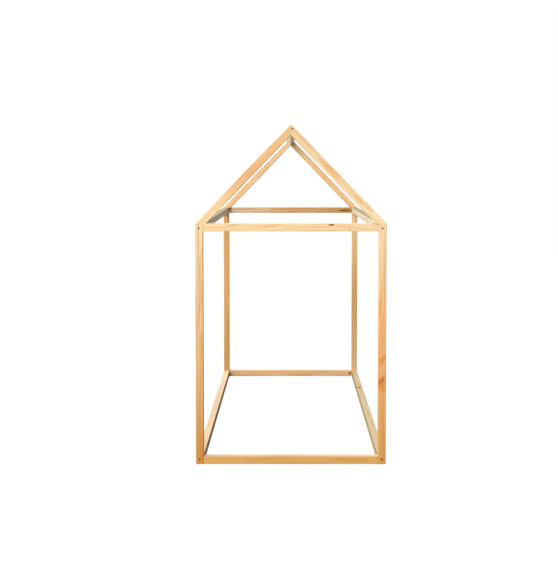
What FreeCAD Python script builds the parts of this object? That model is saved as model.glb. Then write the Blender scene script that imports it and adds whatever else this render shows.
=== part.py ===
import FreeCAD, Part
import math
import os
import Sketcher

# House frame bed: square softwood timbers in the outline of a house, round a single mattress.
# Frame: millimetres, +Z up, origin on the floor under the middle of the bed. The front end
# faces -Y and the ridge runs along Y. Each end is a glued frame of two posts, two cross rails
# and two rafters. Four long rails and the ridge beam are screwed between the two ends.
# Both ends are one design: the rear one is the front one turned half round about Z, so the
# design's left-hand pieces stand on the bed's right there.

Vector = FreeCAD.Vector
Rotation = FreeCAD.Rotation
Placement = FreeCAD.Placement

# ---------------------------------------------------------------- driving dimensions
DIMENSIONS = [
    ("mattress_width", 900, "clear width between the left and right posts"),
    ("mattress_length", 2000, "clear length between the front and rear posts"),
    ("timber", 40, "side of the square section that every timber has"),
    ("arris", 3, "radius of the eased long edges"),
    ("eave_height", 1245, "floor to the top of the posts"),
    ("roof_pitch", 46, "slope of the rafters, in degrees"),
    ("fixing_level", 25, "screws and tenons, in from the floor and from the eave"),
    ("tenon_thickness", 14, "stub tenon on a rail's end, across"),
    ("tenon_height", 20, "stub tenon, up and down"),
    ("tenon_length", 10, "stub tenon, beyond the rail's shoulder"),
    ("glue_gap", 0.5, "room left at the bottom of a glued socket"),
    ("tongue_thickness", 8, "loose tongues in the rafters' ends"),
    ("foot_tongue_width", 22, "loose tongue in a rafter's foot, across the bed"),
    ("foot_tongue_inset", 16, "that tongue, in from the post's outer side"),
    ("foot_tongue_reach", 12, "that tongue, into the post and into the rafter"),
    ("apex_tongue_reach", 14, "loose tongue at the peak, into each rafter"),
    ("apex_tongue_height", 19, "that tongue, up and down"),
    ("apex_tongue_drop", 43, "that tongue's middle, below the peak"),
    ("screw_head", 10, "countersunk screw head, across"),
    ("screw_width", 7, "screw shank, over its thread"),
    ("screw_length", 70, "head's top to the point"),
    ("screw_point", 5, "length of the cone at the point"),
    ("head_sink", 1, "depth of the head's top below the wood"),
    ("socket_flats", 4, "hexagon socket, across its flats"),
    ("socket_depth", 2, "hexagon socket, deep"),
    ("bore_spare", 1, "bore beyond the end of a screw or dowel"),
    ("ridge_fixing_side", 8, "ridge screw and dowel, to the sides of the mitre"),
    ("ridge_fixing_drop", 25.5, "ridge screw and dowel, below the peak"),
    ("dowel_width", 8, "dowel in the ridge beam's end"),
    ("dowel_length", 40, "length of that dowel"),
    ("dowel_seat", 12, "part of that dowel in the rafter"),
]

# Sizes worked out from the sheet, as expressions that the document keeps live.
HALF_TIMBER = "Dims.timber / 2"
HALF_SPAN = "(Dims.mattress_width / 2 + Dims.timber)"
POST_X = "(Dims.mattress_width + Dims.timber) / 2"
POST_Y = "(Dims.mattress_length + Dims.timber) / 2"
PEAK = f"{HALF_SPAN} * tan(Dims.roof_pitch)"
RIDGE_DROP = "Dims.timber / sqrt(2)"
COUNTERSINK = "Dims.screw_head + 2 * Dims.head_sink"
SCREW_REACH = "(Dims.head_sink + Dims.screw_length - Dims.timber + Dims.bore_spare)"
FIXING_TO_AXIS = "(Dims.fixing_level - Dims.timber / 2)"
SOCKET_DEPTH = "Dims.tenon_length + Dims.glue_gap"

X_AXIS = Vector(1, 0, 0)
Y_AXIS = Vector(0, 1, 0)
Z_AXIS = Vector(0, 0, 1)
HALF_TURN = Rotation(Z_AXIS, 180)
CORNER_TURN = 45
PARALLEL = 1e-6
LEAST_CUT = 0.98
LEFT = -1
RIGHT = 1
ENDS = (("front", 1), ("rear", -1))

doc = FreeCAD.newDocument("house_frame_bed")
sheet = doc.addObject("Spreadsheet::Sheet", "Dims")
for row, (alias, value, note) in enumerate(DIMENSIONS, start=1):
    sheet.set(f"A{row}", note)
    sheet.set(f"B{row}", str(value))
    sheet.setAlias(f"B{row}", alias)
doc.recompute()


# ---------------------------------------------------------------- sketches
def new_body(label):
    """An empty piece with a name of its own."""
    body = doc.addObject("PartDesign::Body", label)
    body.Label = label
    return body


def new_sketch(body, label, role, shift="0", turn=0):
    """A sketch on the body's XY_Plane, XZ_Plane (facing -Y) or YZ_Plane.

    shift moves it along the plane's normal, and turn turns it about that normal.
    """
    plane = next(plane for plane in body.Origin.OriginFeatures if plane.Role == role)
    sketch = body.newObject("Sketcher::SketchObject", label)
    sketch.AttachmentSupport = [(plane, "")]
    sketch.MapMode = "FlatFace"
    sketch.AttachmentOffset = Placement(Vector(), Rotation(Z_AXIS, turn))
    sketch.setExpression("AttachmentOffset.Base.z", shift)
    return sketch


def bind(sketch, expression, kind, *places):
    """Adds a dimension to the sketch and binds it to an expression."""
    index = sketch.addConstraint(Sketcher.Constraint(kind, *places))
    sketch.setExpression(f"Constraints[{index}]", expression)


def outline(sketch, corners):
    """Draws a closed outline through rough corners, which dimensions then settle."""
    first = sketch.GeometryCount
    count = len(corners)
    for here in range(count):
        start = Vector(*corners[here], 0)
        end = Vector(*corners[(here + 1) % count], 0)
        sketch.addGeometry(Part.LineSegment(start, end), False)
    for here in range(count):
        after = first + (here + 1) % count
        sketch.addConstraint(Sketcher.Constraint("Coincident", first + here, 2, after, 1))
    return first


def rectangle(sketch, centre, width, height):
    """Draws an upright rectangle round a centre, all given as expressions."""
    first = outline(sketch, [(-3, -2), (3, -2), (3, 2), (-3, 2)])
    for line in (first, first + 2):
        sketch.addConstraint(Sketcher.Constraint("Horizontal", line))
    for line in (first + 1, first + 3):
        sketch.addConstraint(Sketcher.Constraint("Vertical", line))
    middle = sketch.addGeometry(Part.Point(Vector(0.5, 0.5, 0)), True)
    sketch.addConstraint(Sketcher.Constraint("Symmetric", first, 1, first + 2, 1, middle, 1))
    across, up = centre
    bind(sketch, across, "DistanceX", -1, 1, middle, 1, 0.5)
    bind(sketch, up, "DistanceY", -1, 1, middle, 1, 0.5)
    bind(sketch, width, "DistanceX", first, 1, first, 2, 6.0)
    bind(sketch, height, "DistanceY", first + 1, 1, first + 1, 2, 4.0)


# ---------------------------------------------------------------- features
def pad(body, label, sketch, length, backward=False, symmetric=False):
    """Grows the sketch along its normal, against it (backward) or both ways (symmetric)."""
    feature = body.newObject("PartDesign::Pad", label)
    feature.Profile = sketch
    feature.Reversed = backward
    feature.SideType = "Symmetric" if symmetric else "One side"
    feature.setExpression("Length", length)
    doc.recompute()
    return feature


def ease(body, bar, direction):
    """Rounds a bar's long edges, those that run along the given direction."""
    long_edges = []
    for number, edge in enumerate(bar.Shape.Edges, start=1):
        along = edge.tangentAt(edge.FirstParameter)
        if abs(abs(along.dot(direction)) - 1) < PARALLEL:
            long_edges.append(f"Edge{number}")
    fillet = body.newObject("PartDesign::Fillet", "eased_edges")
    fillet.Base = (bar, long_edges)
    fillet.setExpression("Radius", "Dims.arris")
    doc.recompute()


def check_cut(body, label, before, expected):
    """Stops if a cut took out less than its own volume, so that it has missed the timber."""
    if before - body.Shape.Volume < LEAST_CUT * expected:
        raise RuntimeError(f"{body.Label}: {label} misses the timber")


def socket(body, label, sketch, depth, forward=False):
    """Cuts the sketch's rectangles to a depth, against its normal or along it (forward)."""
    doc.recompute()
    before = body.Shape.Volume
    area = sum(Part.Face(wire).Area for wire in sketch.Shape.Wires)
    pocket = body.newObject("PartDesign::Pocket", label)
    pocket.Profile = sketch
    pocket.Reversed = forward
    pocket.setExpression("Length", depth)
    doc.recompute()
    check_cut(body, label, before, area * pocket.Length.Value)


def bore(body, label, sketch, spots, width, depth=None, countersunk=False, forward=False):
    """Drills round bores at the spots of a sketch, against its normal or along it (forward).

    depth is None for a bore right through the timber, where a mortise may be at its far end.
    """
    for across, up in spots:
        circle = sketch.addGeometry(Part.Circle(Vector(1, 1, 0), Z_AXIS, 2), False)
        bind(sketch, across, "DistanceX", -1, 1, circle, 3, 1.0)
        bind(sketch, up, "DistanceY", -1, 1, circle, 3, 1.0)
        bind(sketch, width, "Diameter", circle, 4.0)
    before = body.Shape.Volume
    hole = body.newObject("PartDesign::Hole", label)
    hole.Profile = sketch
    doc.recompute()
    hole.ThreadType = "None"
    hole.DrillPoint = "Flat"
    hole.Reversed = forward
    hole.setExpression("Diameter", width)
    hole.DepthType = "Dimension" if depth else "ThroughAll"
    if depth:
        hole.setExpression("Depth", depth)
    if countersunk:
        hole.HoleCutType = "Countersink"
        hole.HoleCutCountersinkAngle = 90
        hole.setExpression("HoleCutDiameter", COUNTERSINK)
    doc.recompute()
    reach = hole.Depth.Value if depth else sheet.timber - sheet.tenon_length - sheet.glue_gap
    each = math.pi * (hole.Diameter.Value / 2) ** 2 * reach
    check_cut(body, label, before, len(spots) * each)


# ---------------------------------------------------------------- square timbers
def square_timber(label, length):
    """A planed square timber with eased edges, along its own Z from 0 to its length."""
    body = new_body(label)
    section = new_sketch(body, "section", "XY_Plane")
    rectangle(section, ("0", "0"), "Dims.timber", "Dims.timber")
    ease(body, pad(body, "bar", section, length), Z_AXIS)
    return body


def build_post(label, side):
    """A corner post of the front end: side is LEFT or RIGHT, where its outer face is.

    It takes the tenons of two rails at the floor and two at the eave, a screw through
    each long rail's tenon from the front, and a rafter's tongue in its top.
    """
    body = square_timber(label, "Dims.eave_height")
    levels = ("Dims.fixing_level", "Dims.eave_height - Dims.fixing_level")

    back_face = new_sketch(body, "back_marks", "XZ_Plane", f"-{HALF_TIMBER}")
    inner_face = new_sketch(body, "inner_marks", "YZ_Plane", f"{-side} * {HALF_TIMBER}")
    for level in levels:
        rectangle(back_face, ("0", level), "Dims.tenon_thickness", "Dims.tenon_height")
        rectangle(inner_face, ("0", level), "Dims.tenon_thickness", "Dims.tenon_height")
    socket(body, "side_rail_mortises", back_face, SOCKET_DEPTH, forward=True)
    socket(body, "cross_rail_mortises", inner_face, SOCKET_DEPTH, forward=side == RIGHT)

    top_face = new_sketch(body, "top_marks", "XY_Plane", "Dims.eave_height")
    inward = f"Dims.foot_tongue_inset + Dims.foot_tongue_width / 2 - {HALF_TIMBER}"
    centre = (f"{-side} * ({inward})", "0")
    rectangle(top_face, centre, "Dims.foot_tongue_width", "Dims.tongue_thickness")
    socket(body, "rafter_tongue_groove", top_face, "Dims.foot_tongue_reach + Dims.glue_gap")

    front_face = new_sketch(body, "front_marks", "XZ_Plane", HALF_TIMBER)
    spots = [("0", level) for level in levels]
    bore(body, "screw_bores", front_face, spots, "Dims.screw_width", countersunk=True)
    return body


def build_rail(label, length, up, screwed):
    """A rail with a stub tenon on each end, beyond its shoulders at 0 and at its length.

    The tenons sit off its axis, away from the floor (up = 1) or from the eave (up = -1).
    A long rail is screwed: both of its ends have a pilot for the screw.
    """
    body = square_timber(label, length)
    centre = ("0", f"{up} * {FIXING_TO_AXIS}")
    for name, shoulder, outward in (("near", "0", -1), ("far", length, 1)):
        near = name == "near"
        marks = new_sketch(body, f"{name}_shoulder", "XY_Plane", shoulder)
        rectangle(marks, centre, "Dims.tenon_thickness", "Dims.tenon_height")
        pad(body, f"{name}_tenon", marks, "Dims.tenon_length", backward=near)
        if screwed:
            tip = f"{shoulder} + {outward} * Dims.tenon_length"
            marks = new_sketch(body, f"{name}_tip", "XY_Plane", tip)
            depth = f"{SCREW_REACH} + Dims.tenon_length"
            bore(body, f"{name}_pilot", marks, [centre], "Dims.screw_width", depth, forward=near)
    return body


def build_ridge(label):
    """The ridge beam: the long rails' timber, set on its corner by its placement.

    The sketches on its ends are turned back, so that their spots are level with the floor.
    """
    body = square_timber(label, "Dims.mattress_length")
    rise = f"{RIDGE_DROP} - Dims.ridge_fixing_drop"
    tail = "Dims.dowel_length - Dims.dowel_seat + Dims.bore_spare"
    for name, height, hand in (("near", "0", -1), ("far", "Dims.mattress_length", 1)):
        near = name == "near"
        screw_spot = [(f"{hand} * Dims.ridge_fixing_side", rise)]
        dowel_spot = [(f"{-hand} * Dims.ridge_fixing_side", rise)]
        marks = new_sketch(body, f"{name}_screw_mark", "XY_Plane", height, -CORNER_TURN)
        bore(body, f"{name}_pilot", marks, screw_spot, "Dims.screw_width", SCREW_REACH, forward=near)
        marks = new_sketch(body, f"{name}_dowel_mark", "XY_Plane", height, -CORNER_TURN)
        bore(body, f"{name}_dowel_bore", marks, dowel_spot, "Dims.dowel_width", tail, forward=near)
    return body


# ---------------------------------------------------------------- rafters
def build_rafter(label, side):
    """A rafter from its outer foot corner, the origin, inwards along +X up to the mitre.

    Its foot is cut level to stand on the post and the top rail, and its head is cut plumb.
    Turned half round, the same profile serves the right side, so the side of its own Y
    that faces out of the bed is the same as its side of the bed. The left one holds the
    ridge beam's dowel and the right one its screw.
    """
    body = new_body(label)
    profile = new_sketch(body, "profile", "XZ_Plane")
    outline(profile, [(0, 0), (56, 0), (490, 450), (490, 507)])
    foot, lower_edge, mitre, upper_edge = range(4)
    profile.addConstraint(Sketcher.Constraint("Coincident", foot, 1, -1, 1))
    profile.addConstraint(Sketcher.Constraint("Horizontal", foot))
    profile.addConstraint(Sketcher.Constraint("Vertical", mitre))
    profile.addConstraint(Sketcher.Constraint("Parallel", lower_edge, upper_edge))
    bind(profile, HALF_SPAN, "DistanceX", -1, 1, mitre, 1, 490.0)
    bind(profile, "Dims.timber", "Distance", foot, 2, upper_edge, 40.0)
    rough_pitch = FreeCAD.Units.Quantity("46 deg")
    bind(profile, "Dims.roof_pitch", "Angle", foot, 1, upper_edge, 2, rough_pitch)
    bar = pad(body, "bar", profile, "Dims.timber", symmetric=True)
    ease(body, bar, Rotation(Y_AXIS, -sheet.roof_pitch).multVec(X_AXIS))

    foot_face = new_sketch(body, "foot_marks", "XY_Plane")
    centre = ("Dims.foot_tongue_inset + Dims.foot_tongue_width / 2", "0")
    rectangle(foot_face, centre, "Dims.foot_tongue_width", "Dims.tongue_thickness")
    depth = "Dims.foot_tongue_reach + Dims.glue_gap"
    socket(body, "foot_tongue_groove", foot_face, depth, forward=True)

    mitre_face = new_sketch(body, "mitre_marks", "YZ_Plane", HALF_SPAN)
    centre = ("0", f"{PEAK} - Dims.apex_tongue_drop")
    rectangle(mitre_face, centre, "Dims.tongue_thickness", "Dims.apex_tongue_height")
    socket(body, "apex_tongue_groove", mitre_face, "Dims.apex_tongue_reach + Dims.glue_gap")

    face = new_sketch(body, "ridge_marks", "XZ_Plane", f"-{HALF_TIMBER}")
    spots = [(f"{HALF_SPAN} - Dims.ridge_fixing_side", f"{PEAK} - Dims.ridge_fixing_drop")]
    if side == LEFT:
        seat = "Dims.dowel_seat + Dims.bore_spare"
        bore(body, "ridge_dowel_seat", face, spots, "Dims.dowel_width", seat, forward=True)
    else:
        width = "Dims.screw_width"
        bore(body, "ridge_screw_bore", face, spots, width, countersunk=True, forward=True)
    return body


# ---------------------------------------------------------------- screws, dowels, tongues
def revolved(label, half_profile):
    """A turned piece about its own Z, from the corners of its half profile (radius, height)."""
    body = new_body(label)
    profile = new_sketch(body, "half_profile", "XZ_Plane")
    outline(profile, [(number + 1.0, -number * 1.0) for number in range(len(half_profile))])
    for corner, (radius, height) in enumerate(half_profile):
        bind(profile, radius, "DistanceX", -1, 1, corner, 1, 1.0)
        bind(profile, height, "DistanceY", -1, 1, corner, 1, 1.0)
    turned = body.newObject("PartDesign::Revolution", "turned")
    turned.Profile = profile
    turned.ReferenceAxis = (profile, ["V_Axis"])
    turned.Angle = 360
    doc.recompute()
    return body


def build_screw(label):
    """Countersunk furniture screw with a hexagon socket and a cone point.

    Its origin is the middle of the head's top, and it points down its own -Z. The shank is
    as wide as the thread, whose turns are left off.
    """
    head = "Dims.screw_head / 2"
    shank = "Dims.screw_width / 2"
    body = revolved(label, [
        ("0", "0"),
        (head, "0"),
        (shank, f"{shank} - {head}"),
        (shank, "Dims.screw_point - Dims.screw_length"),
        ("0", "-Dims.screw_length"),
    ])
    hexagon = new_sketch(body, "hexagon", "XY_Plane")
    rough = [Rotation(Z_AXIS, 60 * corner).multVec(Vector(2.3, 0, 0)) for corner in range(6)]
    outline(hexagon, [(point.x, point.y) for point in rough])
    rim = hexagon.addGeometry(Part.Circle(Vector(), Z_AXIS, 2.3), True)
    hexagon.addConstraint(Sketcher.Constraint("Coincident", rim, 3, -1, 1))
    for corner in range(6):
        hexagon.addConstraint(Sketcher.Constraint("PointOnObject", corner, 1, rim))
    for line in range(1, 6):
        hexagon.addConstraint(Sketcher.Constraint("Equal", 0, line))
    hexagon.addConstraint(Sketcher.Constraint("PointOnObject", 0, 1, -1))
    bind(hexagon, "Dims.socket_flats / cos(30)", "Diameter", rim, 4.6)
    socket(body, "socket", hexagon, "Dims.socket_depth")
    return body


def build_dowel(label):
    """Plain dowel. Its origin is the middle of one end, and it runs along its own -Z."""
    radius = "Dims.dowel_width / 2"
    return revolved(label, [
        ("0", "0"),
        (radius, "0"),
        (radius, "-Dims.dowel_length"),
        ("0", "-Dims.dowel_length"),
    ])


def build_tongue(label, width, height):
    """Loose tongue across a joint: a flat slip of wood round its own origin, thin along Y."""
    body = new_body(label)
    face = new_sketch(body, "face", "XZ_Plane")
    rectangle(face, ("0", "0"), width, height)
    pad(body, "slip", face, "Dims.tongue_thickness", symmetric=True)
    return body


# ---------------------------------------------------------------- putting it together
def place(piece, hand, where, rotation=None):
    """Puts a piece at a point of the front end, or, with hand -1, at its twin at the rear."""
    x, y, z = where
    own = rotation or Rotation()
    piece.Placement = Placement(Vector(), own if hand > 0 else HALF_TURN.multiply(own))
    piece.setExpression("Placement.Base.x", f"{hand} * ({x})")
    piece.setExpression("Placement.Base.y", f"{hand} * ({y})")
    piece.setExpression("Placement.Base.z", z)
    return piece


def side_name(hand, side):
    """The bed's own name, seen from its front, for a side of the front end's design."""
    return "left" if hand * side == LEFT else "right"


ALONG_X = Rotation(Y_AXIS, Z_AXIS, X_AXIS, "ZXY")
ALONG_Y = Rotation(X_AXIS, 90)
FLOOR_LEVEL = HALF_TIMBER
EAVE_LEVEL = f"Dims.eave_height - {HALF_TIMBER}"
PEAK_LEVEL = f"Dims.eave_height + {PEAK}"
parts = []

for end, hand in ENDS:
    for side in (LEFT, RIGHT):
        post = build_post(f"{end}_{side_name(hand, side)}_post", side)
        parts.append(place(post, hand, (f"{side} * {POST_X}", f"-{POST_Y}", "0")))
    for level, height, up in (("bottom", FLOOR_LEVEL, 1), ("top", EAVE_LEVEL, -1)):
        rail = build_rail(f"{end}_{level}_rail", "Dims.mattress_width", up, screwed=False)
        start = ("-Dims.mattress_width / 2", f"-{POST_Y}", height)
        parts.append(place(rail, hand, start, ALONG_X))
    for side in (LEFT, RIGHT):
        rafter = build_rafter(f"{end}_{side_name(hand, side)}_rafter", side)
        start = (f"{side} * {HALF_SPAN}", f"-{POST_Y}", "Dims.eave_height")
        parts.append(place(rafter, hand, start, Rotation() if side == LEFT else HALF_TURN))

for side, name in ((LEFT, "left"), (RIGHT, "right")):
    for level, height, up in (("bottom", FLOOR_LEVEL, 1), ("eave", EAVE_LEVEL, -1)):
        rail = build_rail(f"{name}_{level}_rail", "Dims.mattress_length", up, screwed=True)
        start = (f"{side} * {POST_X}", "Dims.mattress_length / 2", height)
        parts.append(place(rail, 1, start, ALONG_Y))

ridge = build_ridge("ridge_beam")
start = ("0", "Dims.mattress_length / 2", f"{PEAK_LEVEL} - {RIDGE_DROP}")
parts.append(place(ridge, 1, start, ALONG_Y.multiply(Rotation(Z_AXIS, CORNER_TURN))))

screw = build_screw("screw_pattern")
dowel = build_dowel("dowel_pattern")
foot_tongue = build_tongue("foot_tongue_pattern", "Dims.foot_tongue_width", "2 * Dims.foot_tongue_reach")
apex_tongue = build_tongue("apex_tongue_pattern", "2 * Dims.apex_tongue_reach", "Dims.apex_tongue_height")


def group(label, pattern, places):
    """One node of like pieces: each entry is a hand, a point of the front end, a rotation."""
    copies = []
    for number, (hand, where, rotation) in enumerate(places, start=1):
        copy = doc.addObject("App::Link", f"{label}_{number}")
        copy.LinkedObject = pattern
        copy.LinkTransform = False
        copies.append(place(copy, hand, where, rotation))
    node = doc.addObject("Part::Compound", label)
    node.Label = label
    node.Links = copies
    parts.append(node)


# A screw or dowel is built pointing down. This turns it to point back into the bed.
POINT_BACK = Rotation(X_AXIS, 90)
HEAD_TOP = f"-({POST_Y} + {HALF_TIMBER} - Dims.head_sink)"
DOWEL_TOP = f"-({POST_Y} - {HALF_TIMBER} + Dims.dowel_seat)"

ridge_screws = []
ridge_dowels = []
apex_tongues = []
foot_tongues = []
for end, hand in ENDS:
    screws = []
    for side in (LEFT, RIGHT):
        for level in ("Dims.fixing_level", "Dims.eave_height - Dims.fixing_level"):
            screws.append((hand, (f"{side} * {POST_X}", HEAD_TOP, level), POINT_BACK))
        middle = f"({HALF_SPAN} - Dims.foot_tongue_inset - Dims.foot_tongue_width / 2)"
        foot_tongues.append((hand, (f"{side} * {middle}", f"-{POST_Y}", "Dims.eave_height"), None))
    group(f"side_rail_screws_{end}", screw, screws)
    level = f"{PEAK_LEVEL} - Dims.ridge_fixing_drop"
    ridge_screws.append((hand, ("Dims.ridge_fixing_side", HEAD_TOP, level), POINT_BACK))
    ridge_dowels.append((hand, ("-Dims.ridge_fixing_side", DOWEL_TOP, level), POINT_BACK))
    level = f"{PEAK_LEVEL} - Dims.apex_tongue_drop"
    apex_tongues.append((hand, ("0", f"-{POST_Y}", level), None))

group("ridge_screws", screw, ridge_screws)
group("ridge_dowels", dowel, ridge_dowels)
group("apex_tongues", apex_tongue, apex_tongues)
group("rafter_foot_tongues", foot_tongue, foot_tongues)

# ---------------------------------------------------------------- checks and export
doc.recompute()
for item in doc.Objects:
    if "Invalid" in item.State or "Error" in item.State:
        raise RuntimeError(f"{item.Label} did not rebuild: {item.State}")
for part in parts:
    if part.Shape.isNull() or not part.Shape.isValid():
        raise RuntimeError(f"{part.Label} has no sound shape")

os.makedirs("parts", exist_ok=True)
for part in parts:
    part.Shape.exportStep(f"parts/{part.Label}.step")
    litres = part.Shape.Volume / 1e6
    print(f"{part.Label}: {len(part.Shape.Solids)} solid(s), {litres:.4f} litres")
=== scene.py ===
import math

import bpy
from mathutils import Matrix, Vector


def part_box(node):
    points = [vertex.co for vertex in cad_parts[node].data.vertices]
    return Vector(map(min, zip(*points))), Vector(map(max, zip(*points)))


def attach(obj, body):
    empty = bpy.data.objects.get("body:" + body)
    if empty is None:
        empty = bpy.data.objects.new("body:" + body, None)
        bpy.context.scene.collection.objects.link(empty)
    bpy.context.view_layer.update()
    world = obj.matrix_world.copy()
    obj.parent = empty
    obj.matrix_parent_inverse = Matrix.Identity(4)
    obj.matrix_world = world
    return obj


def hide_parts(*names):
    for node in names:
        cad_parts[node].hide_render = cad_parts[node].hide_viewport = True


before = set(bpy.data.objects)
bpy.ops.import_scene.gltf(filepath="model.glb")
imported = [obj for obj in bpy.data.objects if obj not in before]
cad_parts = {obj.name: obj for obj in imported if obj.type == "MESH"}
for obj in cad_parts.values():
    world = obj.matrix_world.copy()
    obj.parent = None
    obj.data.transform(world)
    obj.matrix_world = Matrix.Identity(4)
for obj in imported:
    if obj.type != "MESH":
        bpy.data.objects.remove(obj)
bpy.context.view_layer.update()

# ---------------------------------------------------------------- corner posts
# Four square posts of knot-free pine, planed, eased along their edges and oiled. Their colour is
# paler towards the top, partly the wood's own tone and partly painted light, for the stronger
# light at their tops. Each end's cross rails are glued into them, and the long rails are screwed
# on through them. The front right one has two slanting marks below its middle.


def linear(tone):
    """A colour written as sRGB hex, such as "#f8cf9d", turned linear for a shader."""
    shares = [int(tone[at:at + 2], 16) / 255 for at in (1, 3, 5)]
    return [((share + 0.055) / 1.055) ** 2.4 if share > 0.04045 else share / 12.92
            for share in shares] + [1.0]


def add(tree, kind, inputs=None, **settings):
    """Adds a node: its settings by name, and its inputs as plain values, sockets or nodes.

    A node that is given as an input stands for its first output.
    """
    node = tree.nodes.new(kind)
    for name, value in settings.items():
        setattr(node, name, value)
    for socket, value in (inputs or {}).items():
        if isinstance(value, bpy.types.Node):
            value = value.outputs[0]
        if isinstance(value, bpy.types.NodeSocket):
            tree.links.new(value, node.inputs[socket])
        else:
            node.inputs[socket].default_value = value
    return node


# How each timber is turned, in degrees: its own Z runs along its grain.
UPRIGHT = (0, 0, 0)
ACROSS = (0, 90, 0)
LENGTHWAYS = (-90, 0, 0)

# Pine as it grows, in millimetres: a year's ring and the wander of the trunk's heart. Then the
# width, length and detail of that wander, of the streaks in its colour and of its fibres, which
# are drawn far coarser than real ones, as coarse as they need to show.
RING = 4.2
WANDER = 15
WANDERS = (160, 900, 2)
STREAKS = (13, 620, 3)
FIBRES = (1.1, 60, 1)

# How far each timber's patterns lie from the last one's, so that no two timbers are alike.
APART = (7.3, 3.1, 1.7)

# How much of the darker summer wood shows, by the part of the year.
YEAR = ((0.0, 0.08), (0.5, 0.2), (0.86, 0.62), (1.0, 0.2))

# How many rings' width a knot pushes the rings round it aside.
KNOT_PUSH = 2.2

# The planed surface: its relief in metres, how much of that shows, the fibres' part in it next
# to the rings', and how rough it is between the fibres and on them.
RELIEF = 0.0002
RELIEF_STRENGTH = 0.12
FIBRE_RELIEF = 0.6
ROUGHNESS = (0.5, 0.66)

# Where a layer begins and where it is full: the streaks by their noise, and the marks and painted
# shade by the distance from their middle, in their own half sizes.
OLIVE_SHARE = (0.56, 0.72)
HONEY_SHARE = (0.46, 0.3)
STAIN_AND_SHADE_EDGE = (1.4, 0.5)
RIM_EDGE = (1.7, 1.0)
KNOT_EDGE = (1.1, 0.7)
RINGS_PUSHED = (3.6, 0.6)

# The ground colours of pine, from a pale grey that is partly painted shade to deep honey.
PALE_GREY_SHADE = "#e0d7c2"
IVORY = "#f9dfb6"
PARCHMENT = "#e8d2b6"
CREAM = "#f4d9ad"
STRAW = "#ecce9f"
HONEY = "#e7bf8c"
TAN = "#d8b488"
ASH = "#d6c3a5"
APRICOT = "#efb87e"
FAWN = "#cebd9c"
GOLD = "#deab64"
BISCUIT = "#cca36c"
AMBER = "#d29954"
BRONZE = "#bd9354"

# What lies over the ground: summer wood, streaks, knots, the casts of patches, and casts over
# whole faces, which are painted shade and a painted sheen, for how light falls on those faces.
SUMMER_WOOD = "#e8c9a0"
OLIVE_STREAK = "#e6dec6"
HONEY_STREAK = "#fce6c6"
KNOT = "#6b4018"
KNOT_RIM = "#b57a42"
PEACH_CAST = "#fdeed9"
RUDDY_CAST = "#f3dccf"
SMOKY_CAST = "#e4d6ae"
ORANGE_CAST = "#f7deab"
BROWN_CAST = "#ad9370"
# Casts over whole faces are painted light: painted shade, and on one top a painted sheen.
GOLDEN_SHADE = "#f0d4a0"
PEARLY_SHEEN = "#e4e6ee"
GREY_SHADE = "#d2cfc4"
DUSKY_SHADE = "#baaf98"
SHADED_CAST = "#9c8f78"

# Half a timber's width, in millimetres, which is where its faces are, and half sizes that cover
# a face's whole width and length.
HALF = 20
WHOLE_WIDTH = 60
WHOLE_LENGTH = 2400


def from_mark(tree, own, place, half_size):
    """How far a point of the timber is from a mark: 1 at the mark's edge, more outside it."""
    off = add(tree, "ShaderNodeVectorMath", {0: own, 1: place}, operation="SUBTRACT")
    scaled = add(tree, "ShaderNodeVectorMath", {0: off, 1: half_size}, operation="DIVIDE")
    return add(tree, "ShaderNodeVectorMath", {0: scaled}, operation="LENGTH").outputs[1]


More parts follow.
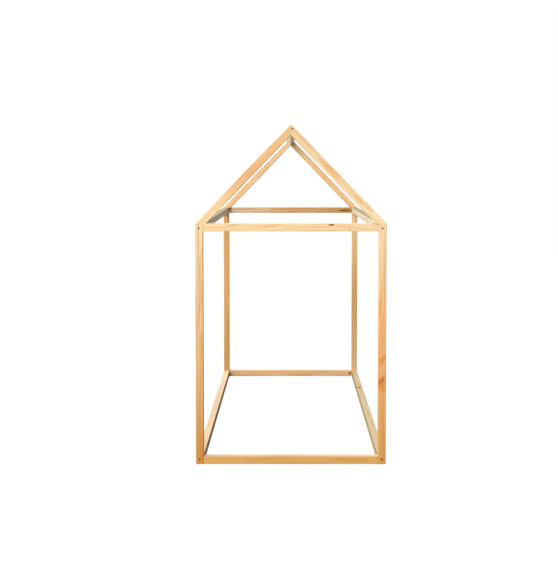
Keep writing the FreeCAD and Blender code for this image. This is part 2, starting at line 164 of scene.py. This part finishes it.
def oiled_pine(name, turn, tones, heart, seed, gloss=0.2, knots=(), stains_and_shade=()):
    """Gives a timber its own pine: planed softwood under a clear oil that dries nearly matt.

    The eye sees growth rings cut lengthways, so long soft lines that draw together and part,
    over a warm ground that changes slowly along the timber. tones are its colours from the
    grain's start to its end, heart is the trunk's middle, off the timber's axis, and gloss is
    how much the oil shines. A knot is its place and half sizes, and a stain is its place, half
    sizes and cast; a stain over a whole face is painted shade, and the one on the front bottom
    rail's top a painted sheen. All are in millimetres, in the timber's own axes.
    """
    low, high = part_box(name)
    length = 1000 * max(high - low)
    material = bpy.data.materials.new("oiled_pine_" + name)
    material.use_nodes = True
    tree = material.node_tree
    tree.nodes.clear()

    # The timber's own axes in millimetres, from its middle.
    own = add(tree, "ShaderNodeMapping", {
        "Vector": add(tree, "ShaderNodeTexCoord").outputs["Object"],
        "Location": (low + high) / 2,
        "Rotation": [math.radians(angle) for angle in turn],
        "Scale": (0.001, 0.001, 0.001),
    }, vector_type="TEXTURE")

    # Three noises drawn out along the grain.
    noises = []
    for wide, long, detail in (WANDERS, STREAKS, FIBRES):
        drawn = add(tree, "ShaderNodeMapping", {
            "Vector": own,
            "Location": (seed * APART[0] + wide, seed * APART[1], seed * APART[2]),
            "Scale": (1 / wide, 1 / wide, 1 / long),
        })
        noise = add(tree, "ShaderNodeTexNoise", {"Vector": drawn, "Scale": 1, "Detail": detail})
        noises.append(noise)
    wander, streak, fibre = noises

    # Rings round the trunk's heart, which wanders. A knot pushes them aside.
    swing = add(tree, "ShaderNodeVectorMath", {
        0: wander.outputs["Color"],
        1: (2 * WANDER, 2 * WANDER, 0),
        2: (-WANDER - heart[0], -WANDER - heart[1], 0),
    }, operation="MULTIPLY_ADD")
    across = add(tree, "ShaderNodeVectorMath", {
        0: own,
        1: (1, 1, 0),
        2: swing,
    }, operation="MULTIPLY_ADD")
    radius = add(tree, "ShaderNodeVectorMath", {0: across}, operation="LENGTH").outputs[1]
    from_knots = [from_mark(tree, own, *knot) for knot in knots]
    for distance in from_knots:
        pushed = add(tree, "ShaderNodeMapRange", {
            "Value": distance,
            "From Min": RINGS_PUSHED[1],
            "From Max": RINGS_PUSHED[0],
            "To Min": KNOT_PUSH * RING,
            "To Max": 0,
        }, interpolation_type="SMOOTHERSTEP")
        radius = add(tree, "ShaderNodeMath", {0: radius, 1: pushed})
    years = add(tree, "ShaderNodeMath", {0: radius, 1: RING}, operation="DIVIDE")
    season = add(tree, "ShaderNodeMath", {0: years}, operation="FRACT")
    summer = add(tree, "ShaderNodeValToRGB", {"Fac": season})

    # The ground colour along the timber.
    along = add(tree, "ShaderNodeMapRange", {
        "Value": add(tree, "ShaderNodeSeparateXYZ", {0: own}).outputs["Z"],
        "From Min": -length / 2,
        "From Max": length / 2,
    })
    ground = add(tree, "ShaderNodeValToRGB", {"Fac": along})
    ground.color_ramp.interpolation = "EASE"

    # The steps of both ramps: a ramp starts with one at each end.
    year = [(part, [share, share, share, 1]) for part, share in YEAR]
    spread = [(number / (len(tones) - 1), linear(tone)) for number, tone in enumerate(tones)]
    for ramp, steps in ((summer, year), (ground, spread)):
        stops = ramp.color_ramp.elements
        stops[0].color = steps[0][1]
        stops[1].color = steps[-1][1]
        for part, tone in steps[1:-1]:
            stops.new(part).color = tone

    # Summer wood, streaks, stains, painted shade and sheen, and knots over it, each as far as its
    # own share goes.
    colour = add(tree, "ShaderNodeMix", {
        0: summer,
        6: ground,
        7: linear(SUMMER_WOOD),
    }, data_type="RGBA", blend_type="MULTIPLY").outputs[2]
    layers = [
        (streak, OLIVE_SHARE, OLIVE_STREAK, "MULTIPLY"),
        (streak, HONEY_SHARE, HONEY_STREAK, "MULTIPLY"),
    ]
    for place, half_size, cast in stains_and_shade:
        layers.append((from_mark(tree, own, place, half_size), STAIN_AND_SHADE_EDGE, cast, "MULTIPLY"))
    for distance in from_knots:
        layers.append((distance, RIM_EDGE, KNOT_RIM, "MIX"))
        layers.append((distance, KNOT_EDGE, KNOT, "MIX"))
    for value, (none, full), tint, blend in layers:
        share = add(tree, "ShaderNodeMapRange", {
            "Value": value,
            "From Min": none,
            "From Max": full,
        }, interpolation_type="SMOOTHSTEP")
        colour = add(tree, "ShaderNodeMix", {
            0: share,
            6: colour,
            7: linear(tint),
        }, data_type="RGBA", blend_type=blend).outputs[2]

    height = add(tree, "ShaderNodeMath", {
        0: fibre,
        1: FIBRE_RELIEF,
        2: summer,
    }, operation="MULTIPLY_ADD")
    shader = add(tree, "ShaderNodeBsdfPrincipled", {
        "Base Color": colour,
        "Roughness": add(tree, "ShaderNodeMapRange", {
            "Value": fibre,
            "To Min": ROUGHNESS[0],
            "To Max": ROUGHNESS[1],
        }),
        "Specular IOR Level": gloss,
        "Normal": add(tree, "ShaderNodeBump", {
            "Height": height,
            "Strength": RELIEF_STRENGTH,
            "Distance": RELIEF,
        }),
    })
    add(tree, "ShaderNodeOutputMaterial", {"Surface": shader})
    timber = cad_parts[name]
    for slot in timber.material_slots:
        slot.material = material


# The front posts' tones run from dark at the foot to pale at the top, partly as painted light.
oiled_pine("front_left_post", UPRIGHT, (AMBER, HONEY, CREAM), heart=(14, 52), seed=1, gloss=0.1)
oiled_pine("front_right_post", UPRIGHT, (GOLD, APRICOT, IVORY), heart=(-22, 60), seed=2,
           stains_and_shade=[((11, -HALF, -64), (9, 12, 15), RUDDY_CAST),
                   ((-4, -HALF, -86), (15, 12, 18), ORANGE_CAST),
                   ((11, -HALF, -168), (10, 12, 16), RUDDY_CAST),
                   ((1, -HALF, -180), (11, 12, 12), SMOKY_CAST),
                   ((-11, -HALF, -194), (11, 12, 14), SMOKY_CAST),
                   ((0, -HALF, -210), (20, 14, 34), ORANGE_CAST)])
oiled_pine("rear_left_post", UPRIGHT, (BRONZE, BISCUIT, BISCUIT), heart=(18, 58), seed=3)
oiled_pine("rear_right_post", UPRIGHT, (TAN, BISCUIT, STRAW), heart=(-30, 40), seed=4)

# ---------------------------------------------------------------- end frames' cross rails
# Two rails across each end, at the floor and at the eaves, their tenons glued into the posts.
# The front bottom rail is more golden in front than on top: painted shade on its front and a
# painted sheen on its top, for how light falls on them. The front top rail has a long knot near
# its right end, and the rear ones have a knot and dark patches near their ends.

# Painted light: the front face darker and more golden as painted shade, the top paler and cooler as
# a painted sheen.
oiled_pine("front_bottom_rail", ACROSS, (STRAW, STRAW, STRAW), heart=(6, 62), seed=5, gloss=0.5,
           stains_and_shade=[((0, -HALF, 0), (WHOLE_WIDTH, 6, WHOLE_LENGTH), GOLDEN_SHADE),
                   ((-HALF, 0, 0), (2.5, WHOLE_WIDTH, WHOLE_LENGTH), PEARLY_SHEEN)])
oiled_pine("front_top_rail", ACROSS, (CREAM, CREAM, CREAM), heart=(-12, 66), seed=6,
           knots=[((-13, -HALF, 208), (3.4, 30, 13)), ((11, -HALF, 300), (2.2, 12, 2.4))])
oiled_pine("rear_bottom_rail", ACROSS, (TAN, TAN, TAN), heart=(10, 55), seed=7,
           knots=[((-2, -HALF, 437), (7, 26, 8))])
oiled_pine("rear_top_rail", ACROSS, (ASH, BISCUIT, BRONZE), heart=(-16, 48), seed=8,
           stains_and_shade=[((-10, -HALF, -446), (14, 30, 18), BROWN_CAST),
                   ((2, -HALF, 400), (8, 30, 50), BROWN_CAST)])

# ---------------------------------------------------------------- rafters
# Two rafters to each end, cut level where they stand on the posts and plumb where they meet
# in a mitre at the peak. Loose tongues hold them there and in the posts. The front ones have a
# few warmer patches.

# The roof's pitch, and how the rafters are turned to it, in degrees.
PITCH = 46
RISING_RIGHT = (0, 90 - PITCH, 0)
RISING_LEFT = (0, PITCH - 90, 0)
oiled_pine("front_left_rafter", RISING_RIGHT, (IVORY, HONEY, STRAW), heart=(20, 50), seed=9,
           stains_and_shade=[((22, -HALF, 200), (20, 12, 46), PEACH_CAST),
                   ((24, -HALF, 80), (14, 12, 90), PEACH_CAST)])
oiled_pine("front_right_rafter", RISING_LEFT, (IVORY, CREAM, STRAW), heart=(-16, 64), seed=10,
           stains_and_shade=[((-16, -HALF, 40), (18, 12, 60), PEACH_CAST),
                   ((-18, -HALF, -163), (12, 12, 32), PEACH_CAST)])
oiled_pine("rear_left_rafter", RISING_RIGHT, (TAN, TAN, ASH), heart=(24, 44), seed=11)
oiled_pine("rear_right_rafter", RISING_LEFT, (STRAW, HONEY, STRAW), heart=(-28, 52), seed=12)

# ---------------------------------------------------------------- long rails
# Four rails between the end frames, at the floor and at the eaves, each held by a tenon in
# the post and by a screw through the post into its end. They are of greyer pine, and the eave
# ones' pale grey is partly painted shade. The bottom ones have painted shade on their inner
# sides, and the eave ones on top.

# Painted shade on its inner side.
oiled_pine("left_bottom_rail", LENGTHWAYS, (PARCHMENT, ASH, PARCHMENT), heart=(-40, 30), seed=13,
           gloss=0.02, stains_and_shade=[((HALF, 0, 0), (2.5, WHOLE_WIDTH, WHOLE_LENGTH), SHADED_CAST)])
# Painted shade, greyish, on its inner side.
oiled_pine("right_bottom_rail", LENGTHWAYS, (FAWN, FAWN, FAWN), heart=(36, 44), seed=14,
           gloss=0.02, knots=[((-4, -HALF, 473), (15, 22, 10))],
           stains_and_shade=[((-HALF, 0, 0), (2.5, WHOLE_WIDTH, WHOLE_LENGTH), GREY_SHADE)])
# A pale grey, partly painted shade, with painted shade on its top.
oiled_pine("left_eave_rail", LENGTHWAYS, (PALE_GREY_SHADE, PALE_GREY_SHADE, PALE_GREY_SHADE), heart=(50, 34), seed=15,
           gloss=0.1, stains_and_shade=[((0, -HALF, 0), (WHOLE_WIDTH, 3, WHOLE_LENGTH), DUSKY_SHADE)])
# A pale grey, partly painted shade, with darker painted shade on its top.
oiled_pine("right_eave_rail", LENGTHWAYS, (PALE_GREY_SHADE, PALE_GREY_SHADE, PALE_GREY_SHADE), heart=(-44, 38), seed=16,
           gloss=0.1, stains_and_shade=[((0, -HALF, 0), (WHOLE_WIDTH, 3, WHOLE_LENGTH), SHADED_CAST)])

# ---------------------------------------------------------------- ridge beam
# The fifth long timber, set on its corner so that its two upper faces carry on the roof's
# slopes. A dowel and a screw hold each of its ends to the rafters.

oiled_pine("ridge_beam", LENGTHWAYS, (IVORY, IVORY, IVORY), heart=(30, 46), seed=17, gloss=0.7)

# ---------------------------------------------------------------- loose tongues and dowels
# Beech, planed or turned and left raw, glued inside the joints of the roof: a tongue across
# each mitre and in each rafter's foot, and a dowel in each end of the ridge beam.

# Beech's colours, and in metres the size of a fleck and the depth of its relief.
BEECH = "#dcb892"
BEECH_FLECK = "#a9744c"
FLECK_LENGTH = 0.0055
FLECK_WIDTH = 0.0007
FLECK_SHARE = (0.55, 0.8)
BEECH_ROUGHNESS = 0.7
BEECH_RELIEF = 0.0001

beech = bpy.data.materials.new("raw_beech")
beech.use_nodes = True
tree = beech.node_tree
tree.nodes.clear()
# Raw beech is even, matt and pinkish, with the short dark flecks of its rays.
drawn = add(tree, "ShaderNodeMapping", {
    "Vector": add(tree, "ShaderNodeTexCoord").outputs["Object"],
    "Scale": (1 / FLECK_LENGTH, 1 / FLECK_WIDTH, 1 / FLECK_WIDTH),
})
fleck = add(tree, "ShaderNodeTexNoise", {"Vector": drawn, "Scale": 1, "Detail": 2})
share = add(tree, "ShaderNodeMapRange", {
    "Value": fleck,
    "From Min": FLECK_SHARE[0],
    "From Max": FLECK_SHARE[1],
}, interpolation_type="SMOOTHSTEP")
colour = add(tree, "ShaderNodeMix", {
    0: share,
    6: linear(BEECH),
    7: linear(BEECH_FLECK),
}, data_type="RGBA")
shader = add(tree, "ShaderNodeBsdfPrincipled", {
    "Base Color": colour.outputs[2],
    "Roughness": BEECH_ROUGHNESS,
    "Normal": add(tree, "ShaderNodeBump", {
        "Height": fleck,
        "Strength": 0.3,
        "Distance": BEECH_RELIEF,
    }),
})
add(tree, "ShaderNodeOutputMaterial", {"Surface": shader})
for name in ("ridge_dowels", "apex_tongues", "rafter_foot_tongues"):
    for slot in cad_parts[name].material_slots:
        slot.material = beech

# ---------------------------------------------------------------- screws
# Countersunk screws with a hexagon socket, of steel burnished brown, ten in all: one through
# each post into each long rail that meets it, and one through a rafter into the ridge beam.
# They are turned, the socket is pressed into the head, and the thread is rolled.

# The screw's sizes in metres, the sides of its round parts, the steps in a turn of its thread
# and how near to each other points are welded.
HEAD_RADIUS = 0.0050
CORE_RADIUS = 0.0025
THREAD_RADIUS = 0.0034
SCREW_LENGTH = 0.0698
SMOOTH_LENGTH = 0.026
POINT_LENGTH = 0.005
THREAD_PITCH = 0.0032
SOCKET_FLATS = 0.004
SOCKET_DEPTH = 0.002
ROUND_SIDES = 32
THREAD_SIDES = 24
WELD = 0.00001
HEAD_HEIGHT = HEAD_RADIUS - CORE_RADIUS
CORE_END = SCREW_LENGTH - POINT_LENGTH
SCREW_SIZES = {
    "Head Radius": HEAD_RADIUS,
    "Head Height": HEAD_HEIGHT,
    "Core Radius": CORE_RADIUS,
    "Core Length": CORE_END - HEAD_HEIGHT,
    "Core End": CORE_END,
    "Point Length": POINT_LENGTH,
    "Socket Radius": SOCKET_FLATS / math.sqrt(3),
    "Socket Depth": SOCKET_DEPTH,
    "Smooth Length": SMOOTH_LENGTH,
    "Thread Length": CORE_END - SMOOTH_LENGTH,
    "Thread Turns": (CORE_END - SMOOTH_LENGTH) / THREAD_PITCH,
    "Thread Height": THREAD_RADIUS - CORE_RADIUS,
}
# The steel's colours, the size of its worn patches in metres and how rough it is.
BURNISHED = "#563d24"
WORN_STEEL = "#987046"
WEAR = 0.0012
WEAR_SHARE = (0.55, 0.75)
BURNISHED_ROUGHNESS = 0.42
WORN_ROUGHNESS = 0.3

# Burnished steel is dark and oily, with fine patches worn paler.
steel = bpy.data.materials.new("burnished_steel")
steel.use_nodes = True
tree = steel.node_tree
tree.nodes.clear()
here = add(tree, "ShaderNodeTexCoord").outputs["Object"]
patches = add(tree, "ShaderNodeTexNoise", {"Vector": here, "Scale": 1 / WEAR, "Detail": 4})
wear = add(tree, "ShaderNodeMapRange", {
    "Value": patches,
    "From Min": WEAR_SHARE[0],
    "From Max": WEAR_SHARE[1],
}, interpolation_type="SMOOTHSTEP")
colour = add(tree, "ShaderNodeMix", {
    0: wear,
    6: linear(BURNISHED),
    7: linear(WORN_STEEL),
}, data_type="RGBA")
shader = add(tree, "ShaderNodeBsdfPrincipled", {
    "Base Color": colour.outputs[2],
    "Metallic": 0.9,
    "Roughness": add(tree, "ShaderNodeMapRange", {
        "Value": wear,
        "To Min": BURNISHED_ROUGHNESS,
        "To Max": WORN_ROUGHNESS,
    }),
})
add(tree, "ShaderNodeOutputMaterial", {"Surface": shader})

# Geometry Nodes set a whole screw on every point, with its head's top there. The point's
# "inwards" is the way that the screw goes.
screws = bpy.data.node_groups.new("socket_screws", "GeometryNodeTree")
screws.interface.new_socket("Points", in_out="INPUT", socket_type="NodeSocketGeometry")
for label in SCREW_SIZES:
    screws.interface.new_socket(label, in_out="INPUT", socket_type="NodeSocketFloat")
screws.interface.new_socket("Screws", in_out="OUTPUT", socket_type="NodeSocketGeometry")
size = add(screws, "NodeGroupInput").outputs

# The turned body: a disc, then the walls of the head, the core and the point, welded.
disc = add(screws, "GeometryNodeMeshCircle", {
    "Vertices": ROUND_SIDES,
    "Radius": size["Head Radius"],
}, fill_type="NGON")
body = add(screws, "GeometryNodeJoinGeometry")
screws.links.new(add(screws, "GeometryNodeFlipFaces", {"Mesh": disc}).outputs[0], body.inputs[0])
for start, height, first, last in (
    (0.0, "Head Height", size["Head Radius"], size["Core Radius"]),
    (size["Head Height"], "Core Length", size["Core Radius"], size["Core Radius"]),
    (size["Core End"], "Point Length", size["Core Radius"], 0.0),
):
    wall = add(screws, "GeometryNodeMeshCone", {
        "Vertices": ROUND_SIDES,
        "Radius Bottom": first,
        "Radius Top": last,
        "Depth": size[height],
    }, fill_type="NONE")
    place = add(screws, "ShaderNodeCombineXYZ", {"Z": start})
    moved = add(screws, "GeometryNodeTransform", {"Geometry": wall, "Translation": place})
    screws.links.new(moved.outputs[0], body.inputs[0])
welded = add(screws, "GeometryNodeMergeByDistance", {"Geometry": body, "Distance": WELD})

# The pressed hexagon socket, and the rolled thread, which is a triangle drawn along a helix.
hexagon = add(screws, "GeometryNodeMeshCylinder", {
    "Vertices": 6,
    "Radius": size["Socket Radius"],
    "Depth": add(screws, "ShaderNodeMath", {0: size["Socket Depth"], 1: 2.0}, operation="MULTIPLY"),
})
pressed = add(screws, "GeometryNodeMeshBoolean", {
    "Mesh 1": welded,
    "Mesh 2": hexagon,
}, operation="DIFFERENCE")
helix = add(screws, "GeometryNodeCurveSpiral", {
    "Resolution": THREAD_SIDES,
    "Rotations": size["Thread Turns"],
    "Start Radius": size["Core Radius"],
    "End Radius": size["Core Radius"],
    "Height": size["Thread Length"],
})
crest = add(screws, "GeometryNodeCurvePrimitiveCircle", {
    "Resolution": 3,
    "Radius": size["Thread Height"],
})
thread = add(screws, "GeometryNodeCurveToMesh", {
    "Curve": helix,
    "Profile Curve": crest,
    "Fill Caps": True,
})
start = add(screws, "ShaderNodeCombineXYZ", {"Z": size["Smooth Length"]})
rolled = add(screws, "GeometryNodeTransform", {"Geometry": thread, "Translation": start})
screw = add(screws, "GeometryNodeJoinGeometry")
for part in (pressed, rolled):
    screws.links.new(part.outputs[0], screw.inputs[0])

# One on each point, its hexagon left at some turn: after a sixth of a round it looks the same.
inwards = add(screws, "GeometryNodeInputNamedAttribute", {
    "Name": "inwards",
}, data_type="FLOAT_VECTOR")
aimed = add(screws, "FunctionNodeAlignRotationToVector", {"Vector": inwards}, axis="Z")
spin = add(screws, "FunctionNodeRandomValue", {
    "Max": math.radians(60),
    "Seed": 4,
}, data_type="FLOAT")
driven = add(screws, "FunctionNodeAxisAngleToRotation", {
    "Axis": (0, 0, 1),
    "Angle": spin.outputs[1],
})
turned = add(screws, "FunctionNodeRotateRotation", {
    "Rotation": aimed,
    "Rotate By": driven,
}, rotation_space="LOCAL")
copies = add(screws, "GeometryNodeInstanceOnPoints", {
    "Points": size["Points"],
    "Instance": screw,
    "Rotation": turned,
})
real = add(screws, "GeometryNodeRealizeInstances", {"Geometry": copies})
finished = add(screws, "GeometryNodeSetMaterial", {"Geometry": real, "Material": steel})
add(screws, "NodeGroupOutput", {0: finished})

inset = Vector((HEAD_RADIUS, 0, HEAD_RADIUS))
for node in ("side_rail_screws_front", "side_rail_screws_rear", "ridge_screws"):
    low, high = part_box(node)
    low, high = low + inset, high - inset
    middle = (low.z + high.z) / 2
    if node == "ridge_screws":
        heads = [(high.x, low.y, middle), (low.x, high.y, middle)]
    else:
        outer = low.y if high.y < 0 else high.y
        heads = [(x, outer, z) for x in (low.x, high.x) for z in (low.z, high.z)]
    points = bpy.data.meshes.new(node + "_points")
    points.from_pydata(heads, [], [])
    ways = points.attributes.new("inwards", "FLOAT_VECTOR", "POINT")
    for way, (x, y, z) in zip(ways.data, heads):
        way.vector = (0, -math.copysign(1, y), 0)
    carrier = bpy.data.objects.new(node + "_points", points)
    bpy.context.scene.collection.objects.link(carrier)
    modifier = carrier.modifiers.new("screws", "NODES")
    modifier.node_group = screws
    for item in screws.interface.items_tree:
        if item.name in SCREW_SIZES:
            modifier[item.identifier] = SCREW_SIZES[item.name]
    bpy.context.view_layer.update()
    settled = carrier.evaluated_get(bpy.context.evaluated_depsgraph_get())
    mesh = bpy.data.meshes.new_from_object(settled)
    carrier.modifiers.remove(modifier)
    bpy.data.objects.remove(carrier)
    piece = bpy.data.objects.new(node + "_turned", mesh)
    bpy.context.scene.collection.objects.link(piece)
    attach(piece, "root")
    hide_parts(node)

# ---------------------------------------------------------------- floor and background
# A plain white studio: a white floor that keeps the bed's faint shadow, and a white room.
# Both look white to the eye and in a gloss, but throw little light on the bed.

FLOOR_SIZE = 60
FLOOR_MATT = "#4c4c4c"
ROOM_LIGHT = 0.17

# The floor is a little under white as far as the bed's shadow goes, and white beyond.
NEAR_WHITE = 0.97
SHADE_FROM = 2.5
SHADE_TO = 7.0


def white_to_the_eye(tree, dim, white):
    """A strength that is white where the eye or a gloss sees it, and dim as light on the bed."""
    ray = add(tree, "ShaderNodeLightPath").outputs
    straight = add(tree, "ShaderNodeMath", {0: ray["Is Camera Ray"], 1: ray["Is Glossy Ray"]})
    seen = add(tree, "ShaderNodeMath", {0: straight, 1: ray["Is Transmission Ray"]})
    return add(tree, "ShaderNodeMapRange", {"Value": seen, "To Min": dim, "To Max": white})


half = FLOOR_SIZE / 2
corners = [(-half, -half, 0), (half, -half, 0), (half, half, 0), (-half, half, 0)]
floor_mesh = bpy.data.meshes.new("floor")
floor_mesh.from_pydata(corners, [], [(0, 1, 2, 3)])
floor = bpy.data.objects.new("floor", floor_mesh)
bpy.context.scene.collection.objects.link(floor)
paint = bpy.data.materials.new("white_floor")
paint.use_nodes = True
tree = paint.node_tree
tree.nodes.clear()
here = add(tree, "ShaderNodeTexCoord").outputs["Object"]
away = add(tree, "ShaderNodeVectorMath", {0: here}, operation="LENGTH").outputs[1]
white = add(tree, "ShaderNodeMapRange", {
    "Value": away,
    "From Min": SHADE_FROM,
    "From Max": SHADE_TO,
    "To Min": NEAR_WHITE,
    "To Max": 1.0,
})
matt = add(tree, "ShaderNodeBsdfDiffuse", {"Color": linear(FLOOR_MATT)})
glow = add(tree, "ShaderNodeEmission", {"Strength": white_to_the_eye(tree, 0.0, white)})
both = add(tree, "ShaderNodeAddShader", {0: matt, 1: glow})
add(tree, "ShaderNodeOutputMaterial", {"Surface": both})
floor_mesh.materials.append(paint)

world = bpy.data.worlds.new("studio")
bpy.context.scene.world = world
world.use_nodes = True
tree = world.node_tree
tree.nodes.clear()
sky = add(tree, "ShaderNodeBackground", {
    "Color": (1, 1, 1, 1),
    "Strength": white_to_the_eye(tree, ROOM_LIGHT, 1.0),
})
add(tree, "ShaderNodeOutputWorld", {"Surface": sky})

# ---------------------------------------------------------------- light and camera
# Soft boxes: the key up on the left in front, a low one in front, one low on the left, one
# overhead and one high behind. The camera is at eye height and looks along the bed.

# The camera's place in metres, its lens in millimetres, how far its picture is shifted, as a
# share of the picture, and how far it looks down, in degrees.
EYE = (-0.005, -5.739, 1.516)
LENS = 56.45
SHIFT = (-0.0184, -0.1415)
LOOKING_DOWN = 2.51


def soft_lamp(name, place, aim, width, power):
    """A square soft box at a place, turned to aim at a point."""
    lamp = bpy.data.lights.new(name, "AREA")
    lamp.shape = "SQUARE"
    lamp.size = width
    lamp.energy = power
    box = bpy.data.objects.new(name, lamp)
    bpy.context.scene.collection.objects.link(box)
    box.location = place
    box.rotation_euler = (Vector(aim) - Vector(place)).to_track_quat("-Z", "Y").to_euler()


soft_lamp("key_lamp", place=(-5.5, -9.5, 6.5), aim=(0, -0.5, 0.9), width=4.0, power=900)
soft_lamp("front_lamp", place=(-1.5, -11.0, 2.6), aim=(0, 0, 0.9), width=4.0, power=480)
soft_lamp("side_lamp", place=(-5.0, -0.5, 0.7), aim=(0, 0, 1.1), width=2.0, power=200)
soft_lamp("top_lamp", place=(-1.2, 0.2, 5.0), aim=(0, 0.2, 0.6), width=3.0, power=170)
soft_lamp("rear_lamp", place=(2.8, 8.5, 6.0), aim=(0, 0, 0.9), width=3.0, power=350)

view = bpy.data.cameras.new("camera")
view.lens = LENS
view.shift_x, view.shift_y = SHIFT
camera = bpy.data.objects.new("camera", view)
bpy.context.scene.collection.objects.link(camera)
camera.location = EYE
camera.rotation_euler = (math.radians(90 - LOOKING_DOWN), 0, 0)
bpy.context.scene.camera = camera
bpy.context.scene.view_settings.view_transform = "Standard"
